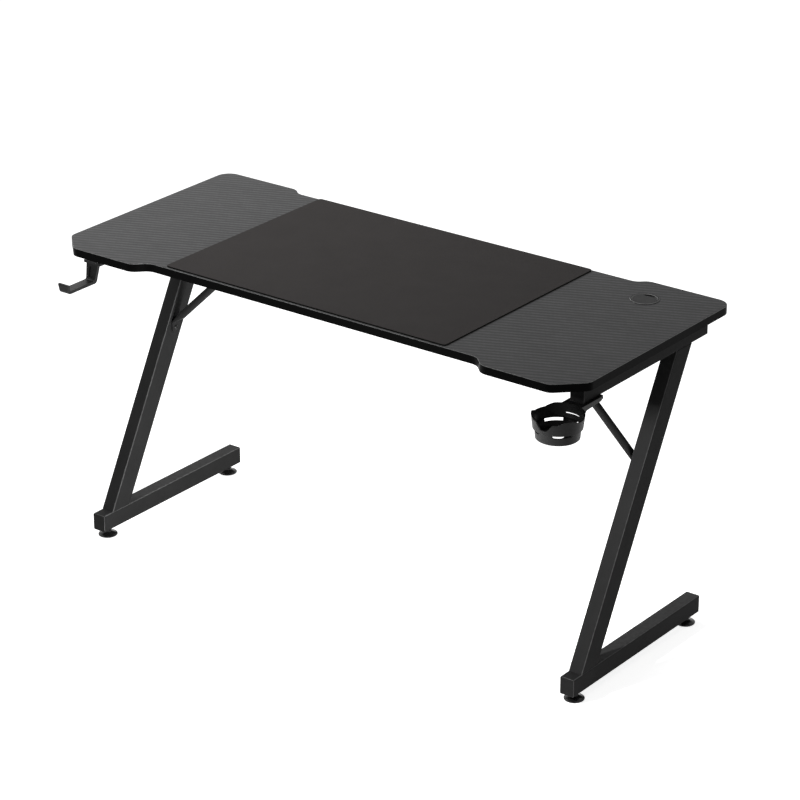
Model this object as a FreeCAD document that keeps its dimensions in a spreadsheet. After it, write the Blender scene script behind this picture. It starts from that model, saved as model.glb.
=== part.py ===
import FreeCAD, Part
import os
import types

import Sketcher

# Gaming desk: a board on two steel side frames with leaning legs, tied by a crossbeam and two braces.
# Millimetres, +X to the right, +Y to the back, +Z up. The floor is at zero height.

SIZES = {
    # desktop board
    "top_length": 1400,
    "top_depth": 600,
    "top_thickness": 19,
    "desk_height": 745,
    "top_edge_round": 1.5,
    "front_cut_along": 60,
    "front_cut_back": 58,
    "front_cut_round": 25,
    "front_recess_depth": 30,
    "front_recess_length": 913,
    "front_recess_round": 32,
    "back_recess_depth": 20,
    "back_recess_length": 955,
    "back_recess_round": 30,
    "back_corner_round": 34,
    # mouse mat
    "mat_length": 757,
    "mat_depth": 543,
    "mat_thickness": 3,
    "mat_corner_round": 8,
    "mat_shift_left": 21.5,
    "mat_shift_back": 6.5,
    # cable grommet
    "grommet_from_right": 160.5,
    "grommet_from_back": 96.5,
    "grommet_hole_diameter": 58,
    "grommet_flange_width": 3,
    "grommet_flange_thickness": 2,
    "grommet_bevel": 0.8,
    "grommet_depth": 16,
    "grommet_wall": 2,
    "grommet_ledge": 2,
    "lid_thickness": 3,
    "lid_sink": 0.5,
    "lid_skirt_depth": 5,
    "lid_skirt_wall": 1.8,
    "lid_gap": 0.3,
    "lid_notch_width": 24,
    "lid_notch_depth": 11,
    "lid_notch_round": 2.2,
    # side frames of box tube
    "frame_side_inset": 25.5,
    "frame_shift_back": 9.5,
    "tube_width": 34.5,
    "tube_wall": 1.5,
    "tube_round": 3,
    "rail_height": 41,
    "rail_length": 463,
    "bar_height": 41,
    "bar_length": 487,
    "leg_depth": 59,
    "leg_run": 330,
    "leg_setback": 30.5,
    # plastic plugs in the tube ends
    "plug_flange": 2.5,
    "plug_depth": 10,
    "plug_edge_round": 1,
    # crossbeam and its end plates
    "beam_height": 30,
    "beam_depth": 30,
    "plate_thickness": 3,
    "plate_length": 90,
    "plate_bolt_spacing": 66,
    "beam_screw_spacing": 400,
    # braces of round tube with flattened ends
    "brace_diameter": 18,
    "brace_wall": 1.2,
    "brace_knee_height": 464,
    "brace_reach": 243,
    "brace_flat_length": 30,
    "tab_thickness": 4,
    "tab_width": 24,
    "tab_length": 28,
    "tab_hole_place": 14,
    # levelling feet
    "foot_gap": 19.5,
    "foot_inset": 29,
    "pad_diameter": 45,
    "pad_sole_round": 1.2,
    "pad_rim_height": 4,
    "pad_rim_step": 1.5,
    "pad_cone_height": 9,
    "pad_height": 11.8,
    "pad_hub_diameter": 17,
    "pad_floor": 4,
    "stem_diameter": 8,
    "stem_length": 46,
    "stem_tip": 1,
    "bush_diameter": 14,
    "bush_length": 14,
    "bush_flange_diameter": 20,
    "bush_flange_thickness": 1.2,
    # fasteners
    "screw_diameter": 6,
    "screw_tip": 0.8,
    "head_diameter": 11,
    "head_height": 3.3,
    "socket_width": 4,
    "socket_depth": 2,
    "nut_width": 10,
    "nut_height": 5,
    "nut_end_gap": 1,
    "insert_diameter": 10,
    "insert_length": 12,
    "insert_hole_depth": 13,
    "rail_screw_from_front": 110,
    "rail_screw_before_leg": 20,
    # cup holder
    "cup_reach": 66.5,
    "cup_rim_diameter": 110,
    "cup_shoulder_diameter": 103,
    "cup_neck_diameter": 95,
    "cup_base_diameter": 92,
    "cup_base_round": 2,
    "cup_height": 54,
    "cup_step_height": 21,
    "cup_step_rise": 2.5,
    "cup_wall": 3,
    "cup_floor": 3,
    "cup_slot_height": 6.5,
    "cup_slot_drop": 3.5,
    "cup_vent_height": 3,
    "cup_vent_drop": 18,
    "cup_notch_width": 14,
    "cup_notch_top_width": 40,
    "cup_notch_depth": 22,
    "cup_dip_depth": 6.5,
    "cup_front_dip_width": 58,
    "cup_front_dip_slope": 10,
    "cup_side_dip_width": 28,
    "cup_side_dip_slope": 18,
    "cup_side_dip_back": 10,
    "cup_drain_diameter": 19,
    "cup_drain_circle": 56,
    "cup_floor_hole_diameter": 26,
    "cup_rib_thickness": 4,
    "cup_rib_height": 20,
    "cup_rib_shallow": 3,
    "cup_rim_round": 1,
    # headset hook
    "hook_drop": 48,
    "hook_arm_thickness": 7,
    "hook_arm_reach": 94,
    "hook_arm_width": 26,
    "hook_post_width": 34,
    "hook_post_thickness": 8,
    "hook_post_setback": 1,
    "hook_post_lean": 8,
    "hook_tip_height": 23,
    "hook_tip_lean": 3,
    "hook_heel_round": 9,
    "hook_bend_round": 5,
    "hook_tip_round": 2.5,
    "hook_groove_width": 14,
    "hook_groove_depth": 2.5,
    "hook_groove_margin": 6,
    # plates that hold the cup holder and the hook under the rails
    "holder_width": 49,
    "holder_thickness": 6,
    "holder_length": 63,
    "holder_corner_round": 6,
    "holder_screw_gap": 8,
    "holder_screw_spacing": 22,
    # fits and cuts
    "fit_gap": 0.15,
    "thread_gap": 0.05,
    "bolt_gap": 0.3,
    "overrun": 5,
}

CUP_SLOT_ANGLE = 50
CUP_SLOT_COUNT = 4
CUP_SLOT_TURN = 46
CUP_VENT_ANGLE = 40
CUP_VENT_TURN = 86
CUP_DRAIN_COUNT = 6
HEAD_CROWN_SHARE = 0.6
HEAD_SIDE_SHARE = 0.35
NEAR_SHARE = 0.001
SIDES = {"left": -1, "right": 1}
ENDS = {"front": -1, "back": 1}

Vector = FreeCAD.Vector
UP = Vector(0, 0, 1)

doc = FreeCAD.newDocument("GamingDesk")
sheet = doc.addObject("Spreadsheet::Sheet", "Sizes")


class Size:
    """A length that carries its number and the sheet formula that gives it."""

    def __init__(self, value, formula):
        self.value = value
        self.formula = formula

    def __add__(self, other):
        other = as_size(other)
        return Size(self.value + other.value, f"({self.formula} + {other.formula})")

    def __sub__(self, other):
        other = as_size(other)
        return Size(self.value - other.value, f"({self.formula} - {other.formula})")

    def __mul__(self, factor):
        factor = as_size(factor)
        return Size(self.value * factor.value, f"({self.formula} * {factor.formula})")

    def __truediv__(self, divisor):
        divisor = as_size(divisor)
        return Size(self.value / divisor.value, f"({self.formula} / {divisor.formula})")

    def __neg__(self):
        return Size(-self.value, f"(0 - {self.formula})")


def as_size(item):
    """Give a plain number, such as zero or a factor, the form of a Size."""
    if isinstance(item, Size):
        return item
    return Size(float(item), f"({float(item)})")


# sheet of driving sizes, one named cell each
size = types.SimpleNamespace()
for row, (name, number) in enumerate(SIZES.items(), start=1):
    sheet.set(f"A{row}", name)
    sheet.set(f"B{row}", str(number))
    sheet.setAlias(f"B{row}", name)
    setattr(size, name, Size(float(number), f"Sizes.{name}"))
doc.recompute()

# heights
zero = as_size(0)
underside = size.desk_height - size.top_thickness
rail_bottom = underside - size.rail_height
bar_top = size.foot_gap + size.bar_height
leg_rise = rail_bottom - bar_top
beam_bottom = underside - size.beam_height

# places from the middle of the board
half_length = size.top_length / 2
half_depth = size.top_depth / 2
leg_x = half_length - size.frame_side_inset - size.tube_width / 2
inner_face = leg_x - size.tube_width / 2
rail_front = size.frame_shift_back - size.rail_length / 2 - size.plug_flange
bar_front = size.frame_shift_back - size.bar_length / 2 - size.plug_flange
leg_foot = bar_front + size.leg_setback
leg_head = leg_foot + size.leg_run
brace_bolt_height = size.brace_knee_height - size.tab_hole_place
brace_climb_share = (brace_bolt_height - bar_top) / leg_rise
brace_y = leg_foot + size.leg_run * brace_climb_share + size.leg_depth / 2
brace_bolt_x = inner_face - size.brace_reach - size.tab_hole_place
plate_face = inner_face - size.plate_thickness
beam_middle = beam_bottom + size.beam_height / 2
rail_screw_front = rail_front + size.rail_screw_from_front
rail_screw_back = leg_head - size.rail_screw_before_leg
foot_front = bar_front + size.foot_inset
foot_back = size.frame_shift_back * 2 - foot_front
foot_places = {"front": foot_front, "back": foot_back}
grommet_x = half_length - size.grommet_from_right
grommet_y = half_depth - size.grommet_from_back
cup_y = rail_front - size.cup_reach
cup_radius = size.cup_rim_diameter / 2

# the cup's radius at the foot of its handle notch and at its lowered sides, the outermost places of the desk
cup_step_top = size.cup_step_height + size.cup_step_rise
cup_taper = size.cup_height - size.cup_rim_round - cup_step_top
shoulder_radius = size.cup_shoulder_diameter / 2
cup_widening = (cup_radius - shoulder_radius) / cup_taper
notch_foot = size.cup_height - size.cup_notch_depth
dip_rim = size.cup_height - size.cup_dip_depth
cup_front_radius = shoulder_radius + cup_widening * (notch_foot - cup_step_top)
cup_side_radius = shoulder_radius + cup_widening * (dip_rim - cup_step_top)

# the cup holder reaches past the right side and the front, so the middle of the whole lies off the board's
middle_x = (leg_x + cup_side_radius - half_length) / 2
middle_y = (half_depth + cup_y - cup_front_radius) / 2

# radii of holes and threads
screw_hole = size.screw_diameter / 2 + size.bolt_gap
thread_hole = size.screw_diameter / 2 + size.thread_gap
stem_hole = size.stem_diameter / 2 + size.thread_gap

nodes = []


def keep(item, label):
    """Name a finished sub-part and list it for writing."""
    item.Label = label
    nodes.append(item)
    return item


def put(item, x, y, z, axis=UP, angle=0):
    """Place a sub-part by sizes counted from the middle of the board and the floor."""
    item.Placement = FreeCAD.Placement(Vector(), FreeCAD.Rotation(axis, angle))
    item.setExpression(".Placement.Base.x", (as_size(x) - middle_x).formula)
    item.setExpression(".Placement.Base.y", (as_size(y) - middle_y).formula)
    item.setExpression(".Placement.Base.z", as_size(z).formula)


def bind(item, **sizes):
    """Tie properties of an object to the sheet."""
    for name, value in sizes.items():
        item.setExpression(name, value.formula)


def new_body(name):
    return doc.addObject("PartDesign::Body", name)


def origin_feature(body, role):
    return next(feature for feature in body.Origin.OriginFeatures if feature.Role == role)


def sketch_on(body, role, lift=None, turn=0):
    """Start a sketch on an origin plane of its body, lifted along the plane's normal or turned upright."""
    sketch = body.newObject("Sketcher::SketchObject", "Sketch")
    sketch.AttachmentSupport = [(origin_feature(body, role), "")]
    sketch.MapMode = "FlatFace"
    sketch.AttachmentOffset = FreeCAD.Placement(Vector(), FreeCAD.Rotation(Vector(0, 1, 0), turn))
    if lift is not None:
        sketch.setExpression(".AttachmentOffset.Base.z", lift.formula)
    return sketch


def fix_point(sketch, geometry, end, x, y):
    """Hold one point of a sketch at its distances from the sketch's origin."""
    for kind, place in (("DistanceX", x), ("DistanceY", y)):
        index = sketch.addConstraint(Sketcher.Constraint(kind, -1, 1, geometry, end, place.value))
        sketch.setExpression(f"Constraints[{index}]", place.formula)


def draw_polygon(sketch, points):
    """Draw a closed outline of straight lines through fixed points."""
    points = [(as_size(x), as_size(y)) for x, y in points]
    count = len(points)
    first = sketch.GeometryCount
    corners = [Vector(x.value, y.value, 0) for x, y in points]
    for index in range(count):
        sketch.addGeometry(Part.LineSegment(corners[index], corners[(index + 1) % count]), False)
    for index in range(count):
        following = first + (index + 1) % count
        sketch.addConstraint(Sketcher.Constraint("Coincident", first + index, 2, following, 1))
    for index, (x, y) in enumerate(points):
        fix_point(sketch, first + index, 1, x, y)


def draw_rectangle(sketch, left, right, low, high):
    draw_polygon(sketch, [(left, low), (right, low), (right, high), (left, high)])


def draw_circle(sketch, x, y, radius):
    x = as_size(x)
    y = as_size(y)
    middle = Vector(x.value, y.value, 0)
    geometry = sketch.addGeometry(Part.Circle(middle, UP, radius.value), False)
    fix_point(sketch, geometry, 3, x, y)
    index = sketch.addConstraint(Sketcher.Constraint("Radius", geometry, radius.value))
    sketch.setExpression(f"Constraints[{index}]", radius.formula)


def pad(body, sketch, length, both_ways=True, reverse=False):
    feature = body.newObject("PartDesign::Pad", "Pad")
    feature.Profile = sketch
    feature.SideType = "Symmetric" if both_ways else "One side"
    feature.Reversed = reverse
    bind(feature, Length=length)
    doc.recompute()
    return feature


def cut(body, sketch, length=None, both_ways=True, reverse=False):
    """Pocket a sketch, right through unless a length is given, and make sure that it removes something."""
    before = body.Shape.Volume
    feature = body.newObject("PartDesign::Pocket", "Pocket")
    feature.Profile = sketch
    feature.SideType = "Symmetric" if both_ways else "One side"
    feature.Reversed = reverse
    if length is None:
        feature.Type = "ThroughAll"
    else:
        bind(feature, Length=length)
    doc.recompute()
    if not body.Shape.Volume < before:
        raise ValueError(f"a pocket of {body.Name} removes nothing")
    return feature


def turn_solid(body, points, kind="PartDesign::Revolution"):
    """Turn a profile of radius and height round the body's upright axis."""
    sketch = sketch_on(body, "XZ_Plane")
    draw_polygon(sketch, points)
    feature = body.newObject(kind, "Turned")
    feature.Profile = sketch
    feature.ReferenceAxis = (sketch, ["V_Axis"])
    feature.Angle = 360
    doc.recompute()
    return feature


def round_edges(body, wanted, radius):
    """Fillet the edges of the body's last feature that a test picks out."""
    base = body.Tip
    names = [f"Edge{index}" for index, edge in enumerate(base.Shape.Edges, start=1) if wanted(edge)]
    if not names:
        raise ValueError(f"no edge to round on {body.Name}")
    feature = body.newObject("PartDesign::Fillet", "Fillet")
    feature.Base = (base, names)
    bind(feature, Radius=radius)
    doc.recompute()
    return feature


def runs_along(edge, axis):
    """Tell whether an edge is a straight line along an axis."""
    if not isinstance(edge.Curve, Part.Line):
        return False
    return abs(edge.Curve.Direction.dot(axis)) > 1 - NEAR_SHARE


def close_to(value, target):
    """Tell whether two places agree, within a small share of the board's thickness."""
    return abs(value - target.value) < NEAR_SHARE * size.top_thickness.value


def upright_at(places):
    """Make a test that picks the upright edges at given places in plan, on either side of the middle."""
    def wanted(edge):
        point = edge.CenterOfMass
        if not runs_along(edge, UP):
            return False
        return any(close_to(abs(point.x), x) and close_to(point.y, y) for x, y in places)
    return wanted


def group(label, items):
    """Gather like fasteners, each its own solid, in one sub-part."""
    compound = doc.addObject("Part::Compound", "Group")
    compound.Links = items
    keep(compound, label)


def screw(length, x, y, z, axis=UP, angle=0):
    """Make a button-head screw: the head's seat at zero, the shank upwards, a hexagon socket below."""
    radius = size.screw_diameter / 2
    head = size.head_diameter / 2
    body = new_body("Screw")
    turn_solid(body, [
        (zero, -size.head_height),
        (head * HEAD_CROWN_SHARE, -size.head_height),
        (head, -size.head_height * HEAD_SIDE_SHARE),
        (head, zero),
        (radius, zero),
        (radius, length - size.screw_tip),
        (radius - size.screw_tip, length),
        (zero, length),
    ])
    sketch = sketch_on(body, "XY_Plane", lift=-size.head_height)
    draw_hexagon(sketch, size.socket_width)
    cut(body, sketch, size.socket_depth, both_ways=False, reverse=True)
    put(body, x, y, z, axis, angle)
    return body


def draw_hexagon(sketch, width):
    """Draw a regular hexagon of a given width across its flats."""
    half = width / 2
    corner = half * (2 / 3 ** 0.5)
    draw_polygon(sketch, [
        (corner, zero),
        (corner / 2, half),
        (-corner / 2, half),
        (-corner, zero),
        (-corner / 2, -half),
        (corner / 2, -half),
    ])


def weld_nut(x, y, z, axis=UP, angle=0):
    """Make a hexagon nut that stands on the inside of a tube wall."""
    body = new_body("Nut")
    sketch = sketch_on(body, "XY_Plane")
    draw_hexagon(sketch, size.nut_width)
    draw_circle(sketch, zero, zero, thread_hole)
    pad(body, sketch, size.nut_height, both_ways=False)
    put(body, x, y, z, axis, angle)
    return body


def build_desktop():
    """Board with cut front corners, a recess along the front and the back, and a rounded top edge."""
    front = -half_depth
    front_middle = size.front_recess_length / 2
    back_middle = size.back_recess_length / 2
    front_slope = size.front_recess_depth / 2
    back_slope = size.back_recess_depth / 2
    front_inner = (front_middle - front_slope, front + size.front_recess_depth)
    front_outer = (front_middle + front_slope, front)
    cut_front = (half_length - size.front_cut_along, front)
    cut_side = (half_length, front + size.front_cut_back)
    back_corner = (half_length, half_depth)
    back_outer = (back_middle + back_slope, half_depth)
    back_inner = (back_middle - back_slope, half_depth - size.back_recess_depth)
    right = [front_inner, front_outer, cut_front, cut_side, back_corner, back_outer, back_inner]
    left = [(-x, y) for x, y in reversed(right)]
    body = new_body("Desktop")
    sketch = sketch_on(body, "XY_Plane")
    draw_polygon(sketch, right + left)
    pad(body, sketch, size.top_thickness, both_ways=False)
    round_edges(body, upright_at([front_inner, front_outer]), size.front_recess_round)
    round_edges(body, upright_at([back_inner, back_outer]), size.back_recess_round)
    round_edges(body, upright_at([cut_front, cut_side]), size.front_cut_round)
    round_edges(body, upright_at([back_corner]), size.back_corner_round)
    round_edges(body, lies_at_height(size.top_thickness), size.top_edge_round)
    hole = sketch_on(body, "XY_Plane")
    draw_circle(hole, grommet_x, grommet_y, size.grommet_hole_diameter / 2)
    cut(body, hole)
    blind = sketch_on(body, "XY_Plane")
    for x, y in insert_places():
        draw_circle(blind, x, y, size.insert_diameter / 2 + size.fit_gap)
    cut(body, blind, size.insert_hole_depth, both_ways=False, reverse=True)
    put(body, zero, zero, underside)
    keep(body, "desktop")


def lies_at_height(height):
    """Make a test that picks the edges lying flat at one height."""
    def wanted(edge):
        box = edge.BoundBox
        return close_to(box.ZMin, height) and close_to(box.ZMax, height)
    return wanted


def rail_screw_places():
    return [(leg_x * side, y) for side in SIDES.values() for y in (rail_screw_front, rail_screw_back)]


def beam_screw_places():
    return [(size.beam_screw_spacing / 2 * side, brace_y) for side in SIDES.values()]


def insert_places():
    return rail_screw_places() + beam_screw_places()


def build_mouse_mat():
    """Thin sheet with rounded corners, laid on the board."""
    half_x = size.mat_length / 2
    half_y = size.mat_depth / 2
    body = new_body("MouseMat")
    sketch = sketch_on(body, "XY_Plane")
    draw_rectangle(sketch, -half_x, half_x, -half_y, half_y)
    pad(body, sketch, size.mat_thickness, both_ways=False)
    round_edges(body, lambda edge: runs_along(edge, UP), size.mat_corner_round)
    put(body, -size.mat_shift_left, size.mat_shift_back, size.desk_height)
    keep(body, "mouse_mat")


def build_grommet():
    """Flanged sleeve in the board's hole, and a lid with a cable notch that turns on its ledge."""
    hole = size.grommet_hole_diameter / 2
    outer = hole - size.fit_gap
    seat = outer - size.grommet_wall
    ledge = seat - size.grommet_ledge
    flange = hole + size.grommet_flange_width
    flange_top = size.grommet_flange_thickness
    flange_side = flange_top - size.grommet_bevel
    lid_top = flange_top - size.lid_sink
    lid_bottom = lid_top - size.lid_thickness
    sleeve = new_body("GrommetSleeve")
    turn_solid(sleeve, [
        (ledge, -size.grommet_depth),
        (outer, -size.grommet_depth),
        (outer, zero),
        (flange, zero),
        (flange, flange_side),
        (flange - size.grommet_bevel, flange_top),
        (seat + size.grommet_bevel, flange_top),
        (seat, flange_side),
        (seat, lid_bottom),
        (ledge, lid_bottom),
    ])
    put(sleeve, grommet_x, grommet_y, size.desk_height)
    keep(sleeve, "grommet_sleeve")

    lid_radius = seat - size.lid_gap
    skirt = ledge - size.lid_gap
    skirt_bottom = lid_bottom - size.lid_skirt_depth
    lid = new_body("GrommetLid")
    turn_solid(lid, [
        (zero, lid_bottom),
        (skirt - size.lid_skirt_wall, lid_bottom),
        (skirt - size.lid_skirt_wall, skirt_bottom),
        (skirt, skirt_bottom),
        (skirt, lid_bottom),
        (lid_radius, lid_bottom),
        (lid_radius, lid_top),
        (zero, lid_top),
    ])
    notch = sketch_on(lid, "XY_Plane")
    half = size.lid_notch_width / 2
    inner = lid_radius - size.lid_notch_depth
    draw_rectangle(notch, -half, half, inner, lid_radius + size.overrun)
    cut(lid, notch)
    round_edges(lid, upright_at([(half, inner)]), size.lid_notch_round)
    put(lid, grommet_x, grommet_y, size.desk_height)
    keep(lid, "grommet_lid")


def box_tube(name, height, length, width=size.tube_width):
    """Square-cut box tube along Y with rounded long edges, standing on zero height."""
    half = width / 2
    wall = size.tube_wall
    body = new_body(name)
    outside = sketch_on(body, "XZ_Plane")
    draw_rectangle(outside, -half, half, zero, height)
    pad(body, outside, length)
    round_edges(body, lambda edge: runs_along(edge, Vector(0, 1, 0)), size.tube_round)
    inside = sketch_on(body, "XZ_Plane")
    draw_rectangle(inside, wall - half, half - wall, wall, height - wall)
    cut(body, inside)
    return body


def drill_up(body, places, radius, depth=None):
    """Drill upright holes from a tube's underside, right through unless a depth is given."""
    sketch = sketch_on(body, "XY_Plane")
    for x, y in places:
        draw_circle(sketch, x, y, radius)
    if depth is None:
        cut(body, sketch)
    else:
        cut(body, sketch, depth, both_ways=False, reverse=True)


def drill_inner_wall(body, side, places):
    """Drill bolt holes through the wall that faces the other side frame."""
    sketch = sketch_on(body, "YZ_Plane")
    for y, z in places:
        draw_circle(sketch, y, z, screw_hole)
    cut(body, sketch, size.tube_width, both_ways=False, reverse=side < 0)


def holder_screw_places():
    """Places of the holder plate's screws behind the rail's front plug, counted from the rail's front."""
    first = size.plug_flange + size.plug_depth + size.holder_screw_gap
    return [first, first + size.holder_screw_spacing]


def plate_bolt_places():
    half = size.plate_bolt_spacing / 2
    return [brace_y - half, brace_y + half]


def build_top_rail(name, side):
    """Tube under the board's side, drilled for the board, the crossbeam and the front holder."""
    body = box_tube("TopRail", size.rail_height, size.rail_length)
    shift = size.frame_shift_back
    drill_up(body, [(zero, y - shift) for y in (rail_screw_front, rail_screw_back)], screw_hole)
    holder = [(zero, rail_front - shift + place) for place in holder_screw_places()]
    drill_up(body, holder, screw_hole, size.tube_wall * 2)
    drill_inner_wall(body, side, [(y - shift, beam_middle - rail_bottom) for y in plate_bolt_places()])
    put(body, leg_x * side, shift, rail_bottom)
    keep(body, f"top_rail_{name}")


def build_foot_bar(name, side):
    """Tube along the floor, drilled below for the threaded bushes of its two feet."""
    body = box_tube("FootBar", size.bar_height, size.bar_length)
    shift = size.frame_shift_back
    bush_hole = size.bush_diameter / 2 + size.fit_gap
    drill_up(body, [(zero, y - shift) for y in foot_places.values()], bush_hole, size.tube_wall * 2)
    put(body, leg_x * side, shift, size.foot_gap)
    keep(body, f"foot_bar_{name}")


def build_leg_tube(name, side):
    """Tube that leans back from the foot bar up to the top rail, cut level at both ends."""
    rise = leg_rise
    wall = size.tube_wall
    lean = size.leg_run / rise
    over_y = lean * size.overrun
    body = new_body("LegTube")
    outside = sketch_on(body, "YZ_Plane")
    draw_polygon(outside, [
        (zero, zero),
        (size.leg_depth, zero),
        (size.leg_depth + size.leg_run, rise),
        (size.leg_run, rise),
    ])
    pad(body, outside, size.tube_width)
    round_edges(body, leans(Vector(0, size.leg_run.value, rise.value)), size.tube_round)
    inside = sketch_on(body, "YZ_Plane")
    draw_polygon(inside, [
        (wall - over_y, -size.overrun),
        (size.leg_depth - wall - over_y, -size.overrun),
        (size.leg_depth - wall + size.leg_run + over_y, rise + size.overrun),
        (wall + size.leg_run + over_y, rise + size.overrun),
    ])
    cut(body, inside, size.tube_width - wall * 2)
    drill_inner_wall(body, side, [(brace_y - leg_foot, brace_bolt_height - bar_top)])
    put(body, leg_x * side, leg_foot, bar_top)
    keep(body, f"leg_tube_{name}")


def leans(direction):
    """Make a test that picks the straight edges along a leaning direction."""
    direction = Vector(direction).normalize()
    return lambda edge: runs_along(edge, direction)


def build_end_plug(label, height, x, y, z, end):
    """Plastic plug: a flange that covers the tube's end and a block inside it."""
    half = size.tube_width / 2
    clear = size.tube_wall + size.fit_gap
    body = new_body("EndPlug")
    flange = sketch_on(body, "XZ_Plane")
    draw_rectangle(flange, -half, half, zero, height)
    pad(body, flange, size.plug_flange, both_ways=False)
    round_edges(body, lambda edge: runs_along(edge, Vector(0, 1, 0)), size.tube_round)
    round_edges(body, lies_in_front(size.plug_flange), size.plug_edge_round)
    block = sketch_on(body, "XZ_Plane")
    draw_rectangle(block, clear - half, half - clear, clear, height - clear)
    pad(body, block, size.plug_depth, both_ways=False, reverse=True)
    put(body, x, y, z, angle=180 if end > 0 else 0)
    keep(body, label)


def lies_in_front(distance):
    """Make a test that picks the edges that lie in the face at a distance in front of the origin."""
    def wanted(edge):
        box = edge.BoundBox
        return close_to(box.YMin, -distance) and close_to(box.YMax, -distance)
    return wanted


def build_end_plugs(name, side):
    x = leg_x * side
    for end_name, end in ENDS.items():
        rail_end = size.frame_shift_back + size.rail_length / 2 * end
        bar_end = size.frame_shift_back + size.bar_length / 2 * end
        build_end_plug(f"rail_cap_{end_name}_{name}", size.rail_height, x, rail_end, rail_bottom, end)
        build_end_plug(f"bar_cap_{end_name}_{name}", size.bar_height, x, bar_end, size.foot_gap, end)


def build_crossbeam():
    """Tube along the board between the end plates, drilled for the board and the braces."""
    body = box_tube("Crossbeam", size.beam_height, plate_face * 2, size.beam_depth)
    drill_up(body, [(zero, -x) for x, y in beam_screw_places()], screw_hole)
    drill_up(body, [(zero, brace_bolt_x * side) for side in SIDES.values()], screw_hole, size.tube_wall * 2)
    put(body, zero, brace_y, beam_bottom, angle=90)
    keep(body, "crossbeam")


def build_beam_plate(name, side):
    """Plate welded on the crossbeam's end, with two holes for the bolts into the top rail."""
    half = size.plate_length / 2
    body = new_body("BeamPlate")
    sketch = sketch_on(body, "YZ_Plane")
    draw_rectangle(sketch, -half, half, zero, size.beam_height)
    for place in (-size.plate_bolt_spacing / 2, size.plate_bolt_spacing / 2):
        draw_circle(sketch, place, size.beam_height / 2, screw_hole)
    pad(body, sketch, size.plate_thickness)
    put(body, (plate_face + size.plate_thickness / 2) * side, brace_y, beam_bottom)
    keep(body, f"beam_plate_{name}")


def ring_of_arcs(middle, across, along, radius):
    """Closed wire of four quarter arcs, starting between the two directions across the tube."""
    def point(a, b):
        return middle + across * (a * radius) + along * (b * radius)
    half = 0.5 ** 0.5
    corners = [point(half, half), point(-half, half), point(-half, -half), point(half, -half)]
    tops = [point(0, 1), point(-1, 0), point(0, -1), point(1, 0)]
    arcs = [Part.Arc(corners[i], tops[i], corners[(i + 1) % 4]).toShape() for i in range(4)]
    return Part.Wire(arcs)


def flat_ring(middle, across, along, width, thickness):
    """Closed wire of four lines round the flattened end of a tube."""
    half_width = across * (width / 2)
    half_thickness = along * (thickness / 2)
    corners = [
        middle + half_width + half_thickness,
        middle - half_width + half_thickness,
        middle - half_width - half_thickness,
        middle + half_width - half_thickness,
    ]
    return Part.makePolygon(corners + corners[:1])


def tab_solid(knee, across, along, outward):
    """Flat tab with a round end and a bolt hole, from a knee along its outward direction."""
    half = size.tab_width.value / 2
    straight = size.tab_length.value - half
    lift = along * (-size.tab_thickness.value / 2)
    start = knee + lift
    end = start + outward * straight
    tip = Part.Arc(end + across * half, end + outward * half, end - across * half).toShape()
    sides = [
        Part.makeLine(start - across * half, start + across * half),
        Part.makeLine(start + across * half, end + across * half),
        tip,
        Part.makeLine(end - across * half, start - across * half),
    ]
    tab = Part.Face(Part.Wire(sides)).extrude(along * size.tab_thickness.value)
    middle = knee + outward * size.tab_hole_place.value - along * size.tab_thickness.value
    hole = Part.makeCylinder(screw_hole.value, 2 * size.tab_thickness.value, middle, along)
    return tab.cut(hole)


def brace_shape():
    """Round tube from the leg's inner face up to the crossbeam, with both ends pressed flat into tabs."""
    half_tab = size.tab_thickness.value / 2
    across = Vector(0, 1, 0)
    low = Vector(half_tab, 0, size.brace_knee_height.value)
    high = Vector(size.brace_reach.value, 0, beam_bottom.value - half_tab)
    direction = (high - low).normalize()
    square = direction.cross(across)
    start = low + direction * size.brace_flat_length.value
    finish = high - direction * size.brace_flat_length.value
    length = (finish - start).Length
    radius = size.brace_diameter.value / 2
    tube = Part.makeCylinder(radius, length, start, direction)
    bore = Part.makeCylinder(radius - size.brace_wall.value, length, start, direction)
    tab_size = (size.tab_width.value, size.tab_thickness.value)
    ends = [
        (low, start, Vector(1, 0, 0), Vector(0, 0, -1)),
        (high, finish, Vector(0, 0, 1), Vector(1, 0, 0)),
    ]
    pieces = []
    for knee, tube_end, along, outward in ends:
        flat = flat_ring(knee, across, along, *tab_size)
        facing = square if square.dot(along) > 0 else -square
        round_end = ring_of_arcs(tube_end, across, facing, radius)
        pieces.append(Part.makeLoft([flat, round_end], True, True))
        pieces.append(tab_solid(knee, across, along, outward))
    return tube.fuse(pieces).removeSplitter().cut(bore)


def build_brace(name, side):
    feature = doc.addObject("Part::Feature", "Brace")
    feature.Shape = brace_shape()
    put(feature, inner_face * side, brace_y, zero, angle=180 if side > 0 else 0)
    keep(feature, f"brace_{name}")


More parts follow.
